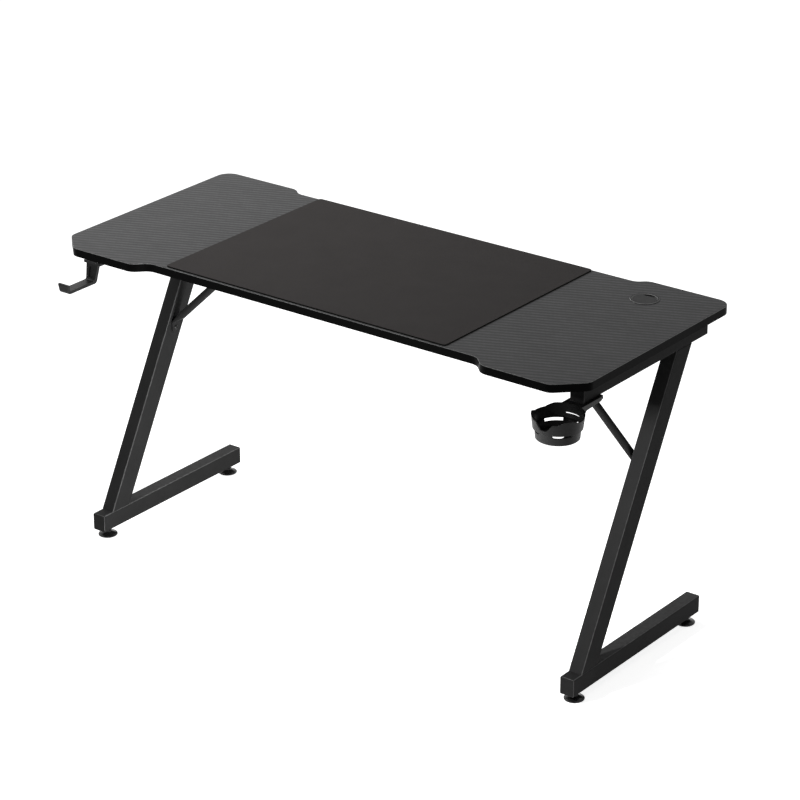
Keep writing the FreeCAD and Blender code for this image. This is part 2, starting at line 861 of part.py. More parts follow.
def build_foot(name, side, end_name):
    """Threaded bush in the foot bar, stem that turns in it, and the pad that the stem stands in."""
    x = leg_x * side
    y = foot_places[end_name]
    label = f"{end_name}_{name}"

    bush_radius = size.bush_diameter / 2
    flange_radius = size.bush_flange_diameter / 2
    bush = new_body("FootNut")
    turn_solid(bush, [
        (stem_hole, -size.bush_flange_thickness),
        (flange_radius, -size.bush_flange_thickness),
        (flange_radius, zero),
        (bush_radius, zero),
        (bush_radius, size.bush_length),
        (stem_hole, size.bush_length),
    ])
    put(bush, x, y, size.foot_gap)
    keep(bush, f"foot_nut_{label}")

    pad_radius = size.pad_diameter / 2
    hub_radius = size.pad_hub_diameter / 2
    foot = new_body("FootPad")
    turn_solid(foot, [
        (zero, zero),
        (pad_radius - size.pad_sole_round, zero),
        (pad_radius, size.pad_sole_round),
        (pad_radius, size.pad_rim_height - size.pad_sole_round),
        (pad_radius - size.pad_rim_step, size.pad_rim_height),
        (pad_radius - size.pad_rim_step * 2, size.pad_rim_height),
        (hub_radius, size.pad_cone_height),
        (hub_radius, size.pad_height),
        (stem_hole, size.pad_height),
        (stem_hole, size.pad_floor),
        (zero, size.pad_floor),
    ])
    put(foot, x, y, zero)
    keep(foot, f"foot_pad_{label}")

    stem_radius = size.stem_diameter / 2
    stem = new_body("FootStem")
    turn_solid(stem, [
        (zero, zero),
        (stem_radius, zero),
        (stem_radius, size.stem_length - size.stem_tip),
        (stem_radius - size.stem_tip, size.stem_length),
        (zero, size.stem_length),
    ])
    put(stem, x, y, size.pad_floor)
    keep(stem, f"foot_stem_{label}")


def cup_outside():
    """Outer profile of the cup, radius and height, up from its base with a step to the wider rim."""
    return [
        (size.cup_base_diameter / 2 - size.cup_base_round, zero),
        (size.cup_base_diameter / 2, size.cup_base_round),
        (size.cup_neck_diameter / 2, size.cup_step_height),
        (shoulder_radius, cup_step_top),
        (cup_radius, size.cup_height - size.cup_rim_round),
        (cup_radius - size.cup_rim_round, size.cup_height),
    ]


def cup_inside():
    """Inner profile of the cup, one wall inside the outer one, open at the top."""
    wall = size.cup_wall
    step = size.cup_step_height + wall / 2
    return [
        (size.cup_base_diameter / 2 - wall, size.cup_floor),
        (size.cup_neck_diameter / 2 - wall, step),
        (shoulder_radius - wall, step + size.cup_step_rise),
        (cup_radius - wall, size.cup_height),
        (cup_radius - wall, size.cup_height + size.overrun),
    ]


def build_cup_holder():
    """Cup with a handle notch, wall slots and drain holes, on a ribbed plate under the right rail."""
    half = size.holder_width / 2
    plate_end = size.cup_reach + size.holder_length
    plate_bottom = size.cup_height - size.holder_thickness
    rib_bottom = plate_bottom - size.cup_rib_height
    rib_middle = half - size.cup_rib_thickness / 2
    outside = cup_outside()
    inside = cup_inside()
    body = new_body("CupHolder")
    turn_solid(body, [(zero, zero)] + outside + [(zero, size.cup_height)])
    plate = sketch_on(body, "XY_Plane", lift=plate_bottom)
    draw_rectangle(plate, -half, half, zero, plate_end)
    pad(body, plate, size.holder_thickness, both_ways=False)
    round_edges(body, upright_at([(half, plate_end)]), size.holder_corner_round)
    for side in SIDES.values():
        rib = sketch_on(body, "YZ_Plane", lift=rib_middle * side)
        draw_polygon(rib, [
            (zero, rib_bottom),
            (shoulder_radius, rib_bottom),
            (size.cup_reach, plate_bottom - size.cup_rib_shallow * 2),
            (plate_end - size.holder_corner_round * 2, plate_bottom - size.cup_rib_shallow),
            (plate_end - size.holder_corner_round, plate_bottom),
            (zero, plate_bottom),
        ])
        pad(body, rib, size.cup_rib_thickness)
    hollow = [(zero, size.cup_floor)] + inside + [(zero, size.cup_height + size.overrun)]
    turn_solid(body, hollow, "PartDesign::Groove")
    slot_low = size.cup_step_height - size.cup_slot_drop
    slot = cut_arc_slot(body, slot_low, size.cup_slot_height, CUP_SLOT_ANGLE, CUP_SLOT_TURN)
    polar(body, slot, CUP_SLOT_COUNT)
    vent_low = size.cup_height - size.cup_vent_drop - size.cup_vent_height
    cut_arc_slot(body, vent_low, size.cup_vent_height, CUP_VENT_ANGLE, CUP_VENT_TURN)
    cut_cup_notch(body)
    cut_side_dips(body)
    middle = sketch_on(body, "XY_Plane")
    draw_circle(middle, zero, zero, size.cup_floor_hole_diameter / 2)
    cut(body, middle)
    drains = sketch_on(body, "XY_Plane")
    draw_circle(drains, size.cup_drain_circle / 2, zero, size.cup_drain_diameter / 2)
    drain = cut(body, drains)
    polar(body, drain, CUP_DRAIN_COUNT)
    holes = sketch_on(body, "XY_Plane")
    for place in holder_screw_places():
        draw_circle(holes, zero, size.cup_reach + place, screw_hole)
    cut(body, holes)
    put(body, leg_x, cup_y, rail_bottom - size.cup_height)
    keep(body, "cup_holder")


def polar(body, feature, count):
    """Repeat a cut evenly round the body's upright axis."""
    pattern = body.newObject("PartDesign::PolarPattern", "Pattern")
    pattern.Originals = [feature]
    pattern.Axis = (origin_feature(body, "Z_Axis"), [""])
    pattern.Angle = 360
    pattern.Occurrences = count
    body.Tip = pattern
    doc.recompute()


def cut_arc_slot(body, low, height, angle, turn):
    """Cut a slot through the cup's wall over an angle about the cup's axis, centred at a turn from +X."""
    before = body.Shape.Volume
    sketch = sketch_on(body, "XZ_Plane", turn=turn)
    inner = size.cup_base_diameter / 2 - size.cup_wall * 2
    draw_rectangle(sketch, inner, cup_radius, low, low + height)
    slot = body.newObject("PartDesign::Groove", "Slot")
    slot.Profile = sketch
    slot.ReferenceAxis = (sketch, ["V_Axis"])
    slot.Angle = angle
    slot.Midplane = True
    doc.recompute()
    if not body.Shape.Volume < before:
        raise ValueError("a slot of the cup removes nothing")
    return slot


def cut_cup_notch(body):
    """Lower the rim at the front of the cup and cut the handle notch down from there."""
    high = size.cup_height + size.overrun
    flat = size.cup_front_dip_width / 2
    outer = flat + size.cup_front_dip_slope
    right = [
        (size.cup_notch_width / 2, notch_foot),
        (size.cup_notch_top_width / 2, dip_rim),
        (flat, dip_rim),
        (outer, size.cup_height),
        (outer, high),
    ]
    left = [(-x, z) for x, z in reversed(right)]
    sketch = sketch_on(body, "XZ_Plane")
    draw_polygon(sketch, right + left)
    cut(body, sketch, cup_radius + size.overrun, both_ways=False, reverse=True)


def cut_side_dips(body):
    """Lower the rim at both sides of the cup, with slopes up to its front and its arm."""
    high = size.cup_height + size.overrun
    middle = size.cup_side_dip_back
    flat = size.cup_side_dip_width / 2
    outer = flat + size.cup_side_dip_slope
    sketch = sketch_on(body, "YZ_Plane")
    draw_polygon(sketch, [
        (middle - flat, dip_rim),
        (middle + flat, dip_rim),
        (middle + outer, size.cup_height),
        (middle + outer, high),
        (middle - outer, high),
        (middle - outer, size.cup_height),
    ])
    cut(body, sketch)


def build_headset_hook():
    """Hook with a leaning post and a forward arm, hung from a plate under the left rail."""
    half = size.holder_width / 2
    bottom = -size.hook_drop
    arm_top = bottom + size.hook_arm_thickness
    plate_bottom = -size.holder_thickness
    post_top = size.hook_post_setback
    post_foot = post_top - size.hook_post_lean
    tip = -size.hook_arm_reach
    tip_top = bottom + size.hook_tip_height
    tip_edge = tip - size.hook_tip_lean
    heel = (post_foot + size.hook_post_thickness, bottom)
    toe = (tip, bottom)
    arm_root = (post_foot, arm_top)
    arm_end = (tip + size.hook_arm_thickness, arm_top)
    body = new_body("HeadsetHook")
    profile = sketch_on(body, "YZ_Plane")
    draw_polygon(profile, [
        (size.holder_length, zero),
        (size.holder_length, plate_bottom),
        (post_top + size.hook_post_thickness, plate_bottom),
        heel,
        toe,
        (tip_edge, tip_top),
        (tip_edge + size.hook_arm_thickness, tip_top),
        arm_end,
        arm_root,
        (post_top, plate_bottom),
        (post_top, zero),
    ])
    pad(body, profile, size.holder_width)
    round_edges(body, across_at([heel, toe]), size.hook_heel_round)
    round_edges(body, across_at([arm_root, arm_end]), size.hook_bend_round)
    tops = [(tip_edge, tip_top), (tip_edge + size.hook_arm_thickness, tip_top)]
    round_edges(body, across_at(tops), size.hook_tip_round)
    trim_hook_sides(body, plate_bottom, arm_top, bottom, half)
    round_edges(body, upright_at([(half, size.holder_length)]), size.holder_corner_round)
    cut_hook_groove(body, plate_bottom, arm_top, post_top, post_foot)
    holes = sketch_on(body, "XY_Plane")
    for place in holder_screw_places():
        draw_circle(holes, zero, place, screw_hole)
    cut(body, holes, size.holder_thickness + size.overrun, both_ways=False)
    put(body, -leg_x, rail_front, rail_bottom)
    keep(body, "headset_hook")


def across_at(places):
    """Make a test that picks the edges along X at given places in the side view."""
    def wanted(edge):
        point = edge.CenterOfMass
        if not runs_along(edge, Vector(1, 0, 0)):
            return False
        return any(close_to(point.y, y) and close_to(point.z, z) for y, z in places)
    return wanted


def trim_hook_sides(body, plate_bottom, arm_top, bottom, half):
    """Narrow the hook below its plate: a post that tapers down to the arm."""
    post = size.hook_post_width / 2
    arm = size.hook_arm_width / 2
    outer = half + size.overrun
    low = bottom - size.overrun
    sketch = sketch_on(body, "XZ_Plane")
    for side in SIDES.values():
        draw_polygon(sketch, [
            (outer * side, plate_bottom),
            (post * side, plate_bottom),
            (arm * side, arm_top),
            (arm * side, low),
            (outer * side, low),
        ])
    cut(body, sketch)


def cut_hook_groove(body, plate_bottom, arm_top, post_top, post_foot):
    """Sink a shallow upright groove in the post's front face, along its lean."""
    high = plate_bottom - size.hook_groove_margin
    low = arm_top + size.hook_groove_margin
    slope = (post_foot - post_top) / (arm_top - plate_bottom)
    front_high = post_top + slope * (high - plate_bottom)
    front_low = post_top + slope * (low - plate_bottom)
    sketch = sketch_on(body, "YZ_Plane")
    draw_polygon(sketch, [
        (front_high + size.hook_groove_depth, high),
        (front_high - size.overrun, high),
        (front_low - size.overrun, low),
        (front_low + size.hook_groove_depth, low),
    ])
    cut(body, sketch, size.hook_groove_width)


def build_fasteners():
    """Screws, bolts, nuts and inserts, gathered by kind."""
    into_insert = size.insert_length - size.nut_end_gap
    into_nut = size.tube_wall + size.nut_height + size.nut_end_gap
    rail_length = size.rail_height + into_insert
    beam_length = size.beam_height + into_insert
    group("rail_screws", [screw(rail_length, x, y, rail_bottom) for x, y in rail_screw_places()])
    group("beam_screws", [screw(beam_length, x, y, beam_bottom) for x, y in beam_screw_places()])
    group("insert_nuts", [insert_nut(x, y) for x, y in insert_places()])

    holder_bottom = rail_bottom - size.holder_thickness
    holder_length = size.holder_thickness + into_nut
    holder_places = [rail_front + place for place in holder_screw_places()]
    group("cup_screws", [screw(holder_length, leg_x, y, holder_bottom) for y in holder_places])
    group("hook_screws", [screw(holder_length, -leg_x, y, holder_bottom) for y in holder_places])

    across = Vector(0, 1, 0)
    tab_length = size.tab_thickness + into_nut
    plate_length = size.plate_thickness + into_nut
    tab_face = inner_face - size.tab_thickness
    leg_wall = inner_face + size.tube_wall
    nuts = [weld_nut(leg_x * side, y, rail_bottom + size.tube_wall)
            for side in SIDES.values() for y in holder_places]
    brace_bolts = []
    beam_bolts = []
    for side in SIDES.values():
        turn = 90 * side
        low = (brace_y, brace_bolt_height)
        brace_bolts.append(screw(tab_length, tab_face * side, *low, across, turn))
        nuts.append(weld_nut(leg_wall * side, *low, across, turn))
        high_x = brace_bolt_x * side
        brace_bolts.append(screw(tab_length, high_x, brace_y, beam_bottom - size.tab_thickness))
        nuts.append(weld_nut(high_x, brace_y, beam_bottom + size.tube_wall))
        for y in plate_bolt_places():
            beam_bolts.append(screw(plate_length, plate_face * side, y, beam_middle, across, turn))
            nuts.append(weld_nut(leg_wall * side, y, beam_middle, across, turn))
    group("brace_bolts", brace_bolts)
    group("beam_bolts", beam_bolts)
    group("weld_nuts", nuts)


def insert_nut(x, y):
    """Threaded sleeve sunk in the board's underside."""
    radius = size.insert_diameter / 2
    body = new_body("Insert")
    turn_solid(body, [
        (thread_hole, zero),
        (radius, zero),
        (radius, size.insert_length),
        (thread_hole, size.insert_length),
    ])
    put(body, x, y, underside)
    return body


def check_document():
    """Stop if any object failed or any sub-part has no sound shape."""
    doc.recompute()
    for item in doc.Objects:
        if "Invalid" in item.State or "Error" in item.State:
            raise ValueError(f"{item.Name} failed: {item.State}")
    for item in nodes:
        if item.Shape.isNull() or not item.Shape.isValid() or not item.Shape.Solids:
            raise ValueError(f"{item.Label} has no sound solid")


build_desktop()
build_mouse_mat()
build_grommet()
for side_name, side_sign in SIDES.items():
    build_top_rail(side_name, side_sign)
    build_leg_tube(side_name, side_sign)
    build_foot_bar(side_name, side_sign)
    build_end_plugs(side_name, side_sign)
    build_beam_plate(side_name, side_sign)
    build_brace(side_name, side_sign)
    for foot_end in ENDS:
        build_foot(side_name, side_sign, foot_end)
build_crossbeam()
build_cup_holder()
build_headset_hook()
build_fasteners()
check_document()

os.makedirs("parts", exist_ok=True)
for node in nodes:
    node.Shape.exportStep(f"parts/{node.Label}.step")
print(len(nodes), "sub-parts,", sum(len(node.Shape.Solids) for node in nodes), "solids")
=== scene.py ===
import math

import bmesh
import bpy
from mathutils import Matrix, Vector


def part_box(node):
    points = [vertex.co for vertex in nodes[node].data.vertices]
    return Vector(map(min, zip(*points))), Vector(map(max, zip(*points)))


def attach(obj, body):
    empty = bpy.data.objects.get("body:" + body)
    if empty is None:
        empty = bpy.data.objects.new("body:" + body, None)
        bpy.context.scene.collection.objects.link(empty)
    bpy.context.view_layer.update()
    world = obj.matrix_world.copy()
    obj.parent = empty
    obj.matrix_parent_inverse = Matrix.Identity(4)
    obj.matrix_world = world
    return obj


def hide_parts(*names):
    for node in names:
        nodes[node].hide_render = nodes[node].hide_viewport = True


# Gaming desk in black: carbon-look board, cloth mat, powder-coated Z-shaped side frames.
# Metres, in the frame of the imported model.

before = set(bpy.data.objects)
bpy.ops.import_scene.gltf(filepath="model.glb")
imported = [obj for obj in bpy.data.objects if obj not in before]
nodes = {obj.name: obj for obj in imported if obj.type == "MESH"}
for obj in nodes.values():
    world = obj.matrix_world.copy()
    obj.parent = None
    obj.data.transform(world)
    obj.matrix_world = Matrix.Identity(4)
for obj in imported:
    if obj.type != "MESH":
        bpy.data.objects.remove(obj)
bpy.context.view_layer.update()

SIDES = ("left", "right")
ENDS = ("front", "back")
FEET = [f"{end}_{side}" for side in SIDES for end in ENDS]
MM = 0.001
TURN = 2 * math.pi

# camera
CAMERA_AZIMUTH = math.radians(37.11)
CAMERA_ELEVATION = math.radians(23.386)
CAMERA_DISTANCE = 6.878
CAMERA_AIM = Vector((0.041056, 0, 0.451724))
CAMERA_LENS = 140.43
CAMERA_SENSOR = 36

# stage
FLOOR_RADIUS = 14
FLOOR_STEPS = 24
FLOOR_ALBEDO = 0.86
FLOOR_MOTTLE = 0.01
FLOOR_CLOUD = 0.4
FLOOR_GLOW = 0.76
AMBIENT = 0.37

# softboxes: place, size across and along, watts, point aimed at
SOFTBOXES = {
    "softbox_over": ((-1.35, 0.2, 2.2), (1.8, 1.5), 37, (-0.3, 0, 0.745)),
    "softbox_low": ((0.45, -0.38, 0.33), (0.3, 0.3), 18, (-0.65, 0, 0.3)),
}

# spot on the right side frame: place, watts, point aimed at, cone, softness and size
SPOT_PLACE = Vector((0.05, -1.4, 1.15))
SPOT_WATTS = 132
SPOT_AIM = Vector((0.66, -0.1, 0.27))
SPOT_CONE = math.radians(25)
SPOT_BLEND = 0.25
SPOT_RADIUS = 0.04


# node helpers

def add(tree, kind, sockets, **settings):
    """Add a node, with its settings, and set or link its inputs by name or number."""
    node = tree.nodes.new(kind)
    for name, value in settings.items():
        setattr(node, name, value)
    for key, value in sockets.items():
        feed(tree, node.inputs[key], value)
    return node


def feed(tree, socket, value):
    """Link another node's output to an input, or set the input to a plain value."""
    if isinstance(value, bpy.types.NodeSocket):
        tree.links.new(value, socket)
    else:
        socket.default_value = value


def calc(tree, operation, a, b=0.0):
    """Result of a sum on one or two values."""
    return add(tree, "ShaderNodeMath", {0: a, 1: b}, operation=operation).outputs[0]


def weighted(tree, *layers):
    """Sum of layers, each given with its weight."""
    total = 0.0
    for layer, weight in layers:
        sockets = {0: layer, 1: weight, 2: total}
        total = add(tree, "ShaderNodeMath", sockets, operation="MULTIPLY_ADD").outputs[0]
    return total


def spread(tree, value, low, high, to_low=0.0, to_high=1.0):
    """Map a value from one range to another, eased and held at the ends."""
    sockets = {0: value, 1: low, 2: high, 3: to_low, 4: to_high}
    return add(tree, "ShaderNodeMapRange", sockets, interpolation_type="SMOOTHSTEP").outputs[0]


def place(tree):
    """Coordinates on the piece, in metres."""
    return add(tree, "ShaderNodeTexCoord", {}).outputs["Object"]


def split(tree, vector):
    return add(tree, "ShaderNodeSeparateXYZ", {0: vector}).outputs


def noise(tree, where, size, detail=2.0, roughness=0.5):
    """Noise from 0 to 1 whose grains are about a given size in metres."""
    sockets = {"Vector": where, "Scale": 1 / size, "Detail": detail, "Roughness": roughness}
    return add(tree, "ShaderNodeTexNoise", sockets).outputs[0]


def vector_calc(tree, operation, a, b, result=0):
    """Result of a sum on two vectors."""
    return add(tree, "ShaderNodeVectorMath", {0: a, 1: b}, operation=operation).outputs[result]


def stretched(tree, where, x, y, z):
    return vector_calc(tree, "MULTIPLY", where, (x, y, z))


def mixed(tree, share, a, b):
    """Mix two colours, given as sockets or as grey or RGB values."""
    def colour(value):
        if isinstance(value, bpy.types.NodeSocket):
            return value
        return (*value, 1) if isinstance(value, tuple) else (value, value, value, 1)
    sockets = {0: share, 6: colour(a), 7: colour(b)}
    return add(tree, "ShaderNodeMix", sockets, data_type="RGBA").outputs[2]


def bump(tree, height, distance, strength, normal=None):
    sockets = {"Height": height, "Distance": distance, "Strength": strength}
    if normal is not None:
        sockets["Normal"] = normal
    return add(tree, "ShaderNodeBump", sockets).outputs[0]


def face_normal(tree):
    return add(tree, "ShaderNodeNewGeometry", {}).outputs["True Normal"]


def normal_part(tree, axis):
    """One part of the face's own normal."""
    return split(tree, face_normal(tree))[axis]


def facing_up(tree, low=0.9, high=0.97):
    """Share that is 1 on faces that look up and 0 on sides and undersides."""
    return spread(tree, normal_part(tree, "Z"), low, high)


def between(tree, value, low, high, soft):
    """Share that is 1 inside a range of a value and fades out over a soft width at its ends."""
    rise = spread(tree, value, low, low + soft)
    return calc(tree, "MULTIPLY", rise, spread(tree, value, high, high - soft))


def new_material(name):
    material = bpy.data.materials.new(name)
    material.use_nodes = True
    tree = material.node_tree
    return material, tree, tree.nodes["Principled BSDF"].inputs


def link(tree, sockets, **values):
    """Feed a shader: keys are its input names with underscores for spaces."""
    for name, value in values.items():
        feed(tree, sockets[name.replace("_", " ")], value)


# materials
# A pair of tones is the dark and the light end. A slope is the least and the greatest part of the
# normal and the width of the fade. Patches are a range of a noise and the shares at its two ends.
GRAIN_RANGE = (0.25, 0.75)

# carbon foil: the twill of its tows
TOW_ACROSS = 8.74 * MM
TOW_ALONG = 3.98 * MM
TWILL_REPEAT = 4
TWILL_STEP = 0.4
TWILL_RANGE = (-0.6, 1)
TOW_FLAT = 0.36
FIBRE_SIZE = 0.6 * MM
FIBRE_DRAW = 0.06

# carbon foil: slow changes, the painted highlight on the arris in patches, and finish
FOIL_CLOUD = 90 * MM
PATCH_SIZE = 11 * MM
PATCH_DRAW = 0.3
PATCH_RANGE = (0.35, 0.65)
PATCH_GLEAM = (0.27, 0.45)
FOIL_TONES = ((0.051, 0.051, 0.0515), (0.106, 0.106, 0.107))
FOIL_ROUGH = (0.56, 0.44)
FOIL_DEPTH = 0.05 * MM
FOIL_SPECULAR = 0.016
PEEL_SIZE = 1.6 * MM
PEEL_DEPTH = 0.02 * MM
BAND_SPECK = 0.7 * MM
BAND_TONES = (0.001, 0.0022)
BAND_ROUGH = 0.36
# the arris tone is a painted highlight along the rounded top edge, broken into patches
ARRIS_HIGHLIGHT_TONE = 0.24
ARRIS_SLOPE = (0.15, 0.98, 0.2)
ARRIS_PATCHES = (0.2, 0.6, 0.55, 1)
ARRIS_PATCH_SIZE = 7 * MM


def tow_gap(tree, where, pitch):
    """Share that is 1 in the narrow groove between two neighbouring tows."""
    phase = calc(tree, "FRACT", calc(tree, "DIVIDE", where, pitch))
    off_middle = calc(tree, "ABSOLUTE", calc(tree, "SUBTRACT", phase, 0.5))
    return spread(tree, off_middle, TOW_FLAT, 0.5)


def twill(tree, where):
    """Weave of the foil: share of the tows along X that lie on top, their fibres, and the grooves."""
    x, y = split(tree, where)[:2]
    across = calc(tree, "DIVIDE", x, TOW_ACROSS)
    along = calc(tree, "DIVIDE", y, TOW_ALONG)
    lean = calc(tree, "ADD", calc(tree, "SUBTRACT", across, along), 0.5)
    wave = calc(tree, "SINE", calc(tree, "MULTIPLY", lean, TURN / TWILL_REPEAT))
    step = calc(tree, "SUBTRACT", calc(tree, "FLOOR", across), calc(tree, "FLOOR", along))
    phase = calc(tree, "FLOORED_MODULO", step, TWILL_REPEAT)
    stepped = calc(tree, "LESS_THAN", phase, TWILL_REPEAT / 2)
    over = spread(tree, weighted(tree, (wave, 1), (stepped, TWILL_STEP)), *TWILL_RANGE)
    fibre_x = noise(tree, stretched(tree, where, FIBRE_DRAW, 1, 1), FIBRE_SIZE)
    fibre_y = noise(tree, stretched(tree, where, 1, FIBRE_DRAW, 1), FIBRE_SIZE)
    fibre = spread(tree, over, 0, 1, fibre_y, fibre_x)
    gap = spread(tree, over, 0, 1, tow_gap(tree, x, TOW_ACROSS), tow_gap(tree, y, TOW_ALONG))
    return over, fibre, gap


def carbon_foil():
    """Carbon-look twill foil on the board's top, with a black edge band and a painted highlight in
    patches on the arris.
    """
    material, tree, shader = new_material("carbon_foil")
    where = place(tree)
    over, fibre, gap = twill(tree, where)
    cloud = noise(tree, where, FOIL_CLOUD)
    patch = noise(tree, stretched(tree, where, PATCH_DRAW, 1, 1), PATCH_SIZE)
    gleam = calc(tree, "MULTIPLY", over, spread(tree, patch, *PATCH_RANGE, *PATCH_GLEAM))
    tone = weighted(tree, (gleam, 1), (fibre, 0.4), (cloud, 0.2), (gap, -0.12))
    foil = mixed(tree, tone, *FOIL_TONES)
    band = mixed(tree, noise(tree, where, BAND_SPECK), *BAND_TONES)
    top = facing_up(tree)
    # painted highlight: the rounded arris between top and band is painted lighter, in patches
    arris = between(tree, normal_part(tree, "Z"), *ARRIS_SLOPE)
    arris_patches = spread(tree, noise(tree, where, ARRIS_PATCH_SIZE), *ARRIS_PATCHES)
    worn_and_highlit = calc(tree, "MULTIPLY", arris, arris_patches)
    colour = mixed(tree, worn_and_highlit, mixed(tree, top, band, foil), ARRIS_HIGHLIGHT_TONE)
    rough = spread(tree, top, 0, 1, BAND_ROUGH, spread(tree, tone, 0, 1, *FOIL_ROUGH))
    relief = calc(tree, "MULTIPLY", weighted(tree, (fibre, 0.5), (over, 0.3), (gap, -0.4)), top)
    peel = bump(tree, noise(tree, where, PEEL_SIZE), PEEL_DEPTH, strength=0.5)
    link(tree, shader, Base_Color=colour, Roughness=rough,
         Normal=bump(tree, relief, FOIL_DEPTH, strength=0.6, normal=peel),
         Specular_IOR_Level=FOIL_SPECULAR)
    return material


# cloth of the mat, and the foam rubber under it
WEAVE_PITCH = 0.9 * MM
WEAVE_DEPTH = 0.12 * MM
FLUFF_SIZE = 0.5 * MM
CLOTH_CLOUD = 60 * MM
CLOTH_TONES = ((0.0225, 0.0205, 0.0200), (0.044, 0.0402, 0.0392))
CLOTH_ROUGH = 0.78
CLOTH_SPECULAR = 0.03
CLOTH_SHEEN = 0.03
SHEEN_ROUGH = 0.5
RUBBER_SPECK = 1.2 * MM
RUBBER_TONES = (0.003, 0.006)


def mat_cloth():
    """Fine woven cloth bonded on black foam rubber, which shows at the edge and below."""
    material, tree, shader = new_material("mat_cloth")
    where = place(tree)
    warp, weft = (
        calc(tree, "SINE", calc(tree, "MULTIPLY", part, TURN / WEAVE_PITCH))
        for part in split(tree, where)[:2]
    )
    weave = spread(tree, calc(tree, "MULTIPLY", warp, weft), -1, 1)
    fluff = noise(tree, where, FLUFF_SIZE, detail=3)
    cloud = noise(tree, where, CLOTH_CLOUD, detail=3)
    tone = weighted(tree, (weave, 0.4), (fluff, 0.3), (cloud, 0.3))
    cloth = mixed(tree, tone, *CLOTH_TONES)
    rubber = mixed(tree, noise(tree, where, RUBBER_SPECK), *RUBBER_TONES)
    top = facing_up(tree, low=0.35, high=0.85)
    relief = weighted(tree, (weave, 0.6), (fluff, 0.4))
    link(tree, shader, Base_Color=mixed(tree, top, rubber, cloth), Roughness=CLOTH_ROUGH,
         Normal=bump(tree, relief, WEAVE_DEPTH, strength=0.5), Specular_IOR_Level=CLOTH_SPECULAR,
         Sheen_Weight=CLOTH_SHEEN, Sheen_Roughness=SHEEN_ROUGH)
    return material


# powder coat; a tube's tops lighter in patches, a painted highlight on its edges that is brighter on the
# right side and on front and top edges, and a painted shadow on the front end of a foot bar's top
COAT_GRAIN = 0.8 * MM
COAT_DEPTH = 0.06 * MM
COAT_CLOUD = 45 * MM
COAT_TONES = (0.011, 0.025)
COAT_ROUGH = (0.36, 0.5)
COAT_SPECULAR = 0.016
TUBE_PATCH_SIZE = 9 * MM
TOP_PATCH_TONE = 0.044
TUBE_PATCHES = (0.25, 0.65, 0.6, 1)
TUBE_EDGE_SLOPE = (0.2, 0.97, 0.2)
TUBE_EDGE_HIGHLIGHT_TONES = (0.03, 0.085)
SIDE_FADE = 0.2
FRONT_FADE = 0.3
BACK_SHARE = 0.3
PAINTED_SHADOW_LENGTH = 30 * MM


def tube_patches_and_painted_light(tree, where, colour):
    """Lighten a tube's tops in patches and paint a highlight on its edges; the front end of a foot bar's
    top is left darker as a painted shadow in front of the leg.
    """
    patches = spread(tree, noise(tree, where, TUBE_PATCH_SIZE, detail=3), *TUBE_PATCHES)
    # painted shadow: a foot bar's top is kept dark between its front end and the leg's foot; elsewhere
    # tops are lighter in patches
    bar_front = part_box("foot_bar_left")[0].y
    beyond_painted_shadow = spread(tree, split(tree, where)["Y"], bar_front + PAINTED_SHADOW_LENGTH, bar_front + 2 * PAINTED_SHADOW_LENGTH)
    top_patches = calc(tree, "MULTIPLY", calc(tree, "MULTIPLY", facing_up(tree), patches), beyond_painted_shadow)
    colour = mixed(tree, top_patches, colour, TOP_PATCH_TONE)
    # painted highlight on the tube's edges, brighter on +X than on -X and on front and top edges than on
    # back ones
    side = normal_part(tree, "X")
    edge_highlight = between(tree, calc(tree, "ABSOLUTE", side), *TUBE_EDGE_SLOPE)
    fore = calc(tree, "SUBTRACT", normal_part(tree, "Z"), normal_part(tree, "Y"))
    highlight_share = spread(tree, fore, -FRONT_FADE, FRONT_FADE, BACK_SHARE, 1)
    bright = calc(tree, "MULTIPLY", calc(tree, "MULTIPLY", edge_highlight, patches), highlight_share)
    highlight_tone = mixed(tree, spread(tree, side, -SIDE_FADE, SIDE_FADE), *TUBE_EDGE_HIGHLIGHT_TONES)
    return mixed(tree, bright, colour, highlight_tone)


def powder_coat(name, worn_and_highlit):
    """Black powder coat with a fine sandy grain; a worn tube gets tops lighter in patches and a painted
    highlight on its edges.
    """
    material, tree, shader = new_material(name)
    where = place(tree)
    grain = noise(tree, where, COAT_GRAIN, detail=4, roughness=0.6)
    cloud = noise(tree, where, COAT_CLOUD)
    colour = mixed(tree, weighted(tree, (grain, 0.6), (cloud, 0.4)), *COAT_TONES)
    if worn_and_highlit:
        colour = tube_patches_and_painted_light(tree, where, colour)
    link(tree, shader, Base_Color=colour, Roughness=spread(tree, grain, *GRAIN_RANGE, *COAT_ROUGH),
         Normal=bump(tree, grain, COAT_DEPTH, strength=0.5), Specular_IOR_Level=COAT_SPECULAR)
    return material


# moulded plastics: tones, middle roughness, size and depth of the grain, specular level
PLASTICS = {
    "plug_plastic": ((0.012, 0.022), 0.45, 0.6 * MM, 0.03 * MM, 0.02),
    "foot_plastic": ((0.005, 0.011), 0.24, 2.5 * MM, 0.01 * MM, 0.28),
    "holder_plastic": ((0.004, 0.011), 0.40, 0.9 * MM, 0.08 * MM, 0.13),
    # the cup is the hook's plastic painted lighter, painted light on its outer wall
    "cup_plastic_painted_light": ((0.010, 0.024), 0.40, 0.9 * MM, 0.08 * MM, 0.13),
    "trim_plastic": ((0.024, 0.046), 0.40, 0.5 * MM, 0.02 * MM, 0.03),
}
PLASTIC_CLOUD = 18 * MM
ROUGH_SPREAD = 0.06

# painted highlight on bevels: axis along which the faces inside them look, and tone
PLUG_EDGE_HIGHLIGHT = ("Y", 0.14)
TRIM_EDGE_HIGHLIGHT = ("Z", 0.3)
BEVEL_SLOPE = (0.3, 0.97, 0.15)
BEVEL_PATCHES = (0.2, 0.6, 0.5, 1)

